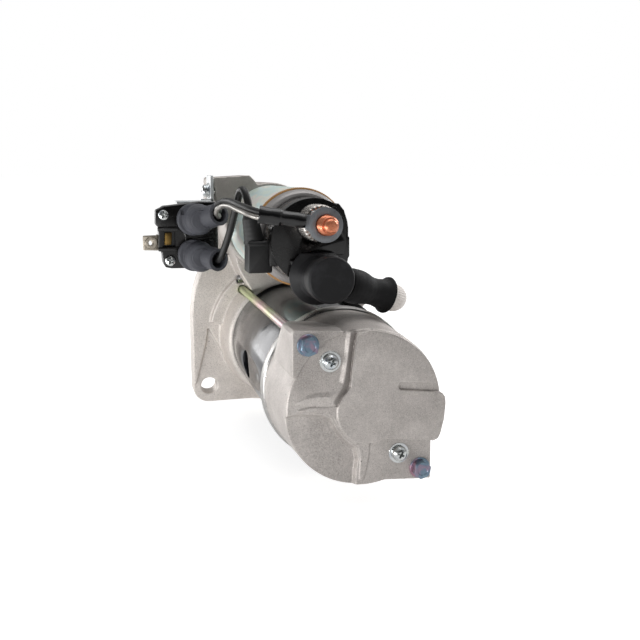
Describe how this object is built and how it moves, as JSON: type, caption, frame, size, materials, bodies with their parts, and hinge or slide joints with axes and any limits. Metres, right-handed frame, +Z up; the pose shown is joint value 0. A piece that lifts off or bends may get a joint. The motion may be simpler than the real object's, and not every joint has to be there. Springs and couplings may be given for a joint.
{
  "type": "starter motor",
  "caption": "Planetary-reduction engine starter with solenoid, feed relay, shift lever, overrunning clutch and nose-supported pinion; the whole drive train moves",
  "frame": {"origin": "on the motor shaft axis, in the plane of the flange face that bolts to the engine", "axes": "+Y along the shaft towards the pinion and nose, +Z up towards the solenoid, which leans 11 degrees to -X, +X to the right seen from the rear cover"},
  "size_m": [0.1819, 0.3094, 0.1756],
  "materials": {
    "cast_aluminium": "die-cast, as cast, fine grain",
    "yoke_steel": "smooth bright plated steel tube",
    "yellow_zinc": "yellow-green iridescent zinc plate",
    "bright_zinc": "bright zinc plate",
    "green_zinc": "pale green iridescent zinc plate",
    "steel": "machined steel",
    "dark_steel": "oiled dark steel",
    "copper": "bare copper",
    "enamelled_wire": "enamelled copper wire",
    "bronze": "sintered bronze",
    "carbon": "copper-carbon brush",
    "brown_fibre": "brown fibre sealing ring",
    "black_plastic": "gloss black moulded plastic",
    "grey_rubber": "matt grey moulded rubber",
    "black_rubber": "matt charcoal moulded rubber",
    "sleeve_cloth": "black shrink sleeve, matt",
    "wire_black": "gloss black wire insulation",
    "wire_tinned": "grey and black insulated wires",
    "cotton_braid": "cream cotton braid",
    "tinned_brass": "tinned brass"
  },
  "bodies": {
    "root": {"solenoid_case": "green_zinc", "solenoid_coil": "enamelled_wire", "gasket_ring": "brown_fibre", "solenoid_end_ring": "bright_zinc", "terminal_cap": "black_plastic", "rear_cover": "cast_aluminium", "rear_bearing": "steel", "through_bolt_upper": "yellow_zinc", "through_bolt_lower": "yellow_zinc", "cover_screw_upper": "bright_zinc", "cover_screw_lower": "bright_zinc", "yoke": "yoke_steel", "pole_shoe_1": "dark_steel", "pole_shoe_2": "dark_steel", "pole_shoe_3": "dark_steel", "pole_shoe_4": "dark_steel", "field_winding": "enamelled_wire", "brush_plate": "steel", "brush_1": "carbon", "brush_2": "carbon", "brush_3": "carbon", "brush_4": "carbon", "center_plate": "steel", "ring_gear": "steel", "front_housing": "cast_aluminium", "nose_bush": "bronze", "lever_pivot_pin": "steel", "battery_stud": "copper", "terminal_collar": "bright_zinc", "motor_stud": "copper", "battery_eyelet": "steel", "eyelet_sleeve": "wire_black", "feed_wires": "wire_tinned", "motor_terminal_boot": "black_rubber", "lead_sleeve": "sleeve_cloth", "motor_lead": "cotton_braid", "lead_grommet": "black_rubber", "control_connector": "black_plastic", "control_wire": "wire_black", "relay_body": "black_plastic", "relay_boot_upper": "grey_rubber", "relay_boot_lower": "grey_rubber", "relay_tab": "tinned_brass", "relay_bracket": "bright_zinc", "relay_bracket_screw": "bright_zinc"},
    "armature": {"armature_shaft": "steel", "armature_core": "dark_steel", "armature_winding": "enamelled_wire", "commutator": "copper"},
    "carrier": {"output_shaft": "steel", "stop_collar": "steel"},
    "planet_1": {"planet_gear_1": "steel"},
    "planet_2": {"planet_gear_2": "steel"},
    "planet_3": {"planet_gear_3": "steel"},
    "clutch": {"clutch_drum": "steel"},
    "drive_pinion": {"pinion": "steel"},
    "lever": {"shift_lever": "dark_steel"},
    "moving_core": {"plunger": "steel", "return_spring": "steel"},
    "contact": {"contact_disc": "copper"}
  },
  "joints": [
    {"name": "armature_spin", "type": "hinge", "parent": "root", "child": "armature", "pos_m": [0, -0.15, 0], "axis": [0, 1, 0], "continuous": true},
    {"name": "output_spin", "type": "hinge", "parent": "root", "child": "carrier", "pos_m": [0, -0.06, 0], "axis": [0, 1, 0], "continuous": true},
    {"name": "planet_1_spin", "type": "hinge", "parent": "carrier", "child": "planet_1", "pos_m": [0.01875, -0.0717, 0], "axis": [0, 1, 0], "continuous": true},
    {"name": "planet_2_spin", "type": "hinge", "parent": "carrier", "child": "planet_2", "pos_m": [-0.00937, -0.0717, 0.01624], "axis": [0, 1, 0], "continuous": true},
    {"name": "planet_3_spin", "type": "hinge", "parent": "carrier", "child": "planet_3", "pos_m": [-0.00937, -0.0717, -0.01624], "axis": [0, 1, 0], "continuous": true},
    {"name": "plunger_slide", "type": "slide", "parent": "root", "child": "moving_core", "axis": [0, -1, 0], "range_m": [0, 0.009], "stiffness_N_per_m": 900, "springref_m": -0.004},
    {"name": "lever_pivot", "type": "hinge", "parent": "root", "child": "lever", "pos_m": [-0.00961, -0.0234, 0.04907], "axis": [0.9814, 0, 0.1921], "range_deg": [0, 14.01]},
    {"name": "contact_slide", "type": "slide", "parent": "root", "child": "contact", "axis": [0, -1, 0], "range_m": [0, 0.00251]},
    {"name": "clutch_slide", "type": "slide", "parent": "carrier", "child": "clutch", "axis": [0, 1, 0], "range_m": [0, 0.01221]},
    {"name": "pinion_overrun", "type": "hinge", "parent": "clutch", "child": "drive_pinion", "pos_m": [0, 0.01, 0], "axis": [0, 1, 0], "continuous": true}
  ],
  "couplings": [
    {"joint": "output_spin", "follows": "armature_spin", "ratio": 0.21667},
    {"joint": "planet_1_spin", "follows": "armature_spin", "ratio": -0.59902},
    {"joint": "planet_2_spin", "follows": "armature_spin", "ratio": -0.59902},
    {"joint": "planet_3_spin", "follows": "armature_spin", "ratio": -0.59902},
    {"joint": "lever_pivot", "follows": "plunger_slide", "rad_per_m": 27.15},
    {"joint": "clutch_slide", "follows": "plunger_slide", "ratio": 1.3556},
    {"joint": "contact_slide", "follows": "plunger_slide", "ratio": 0.27778}
  ]
}
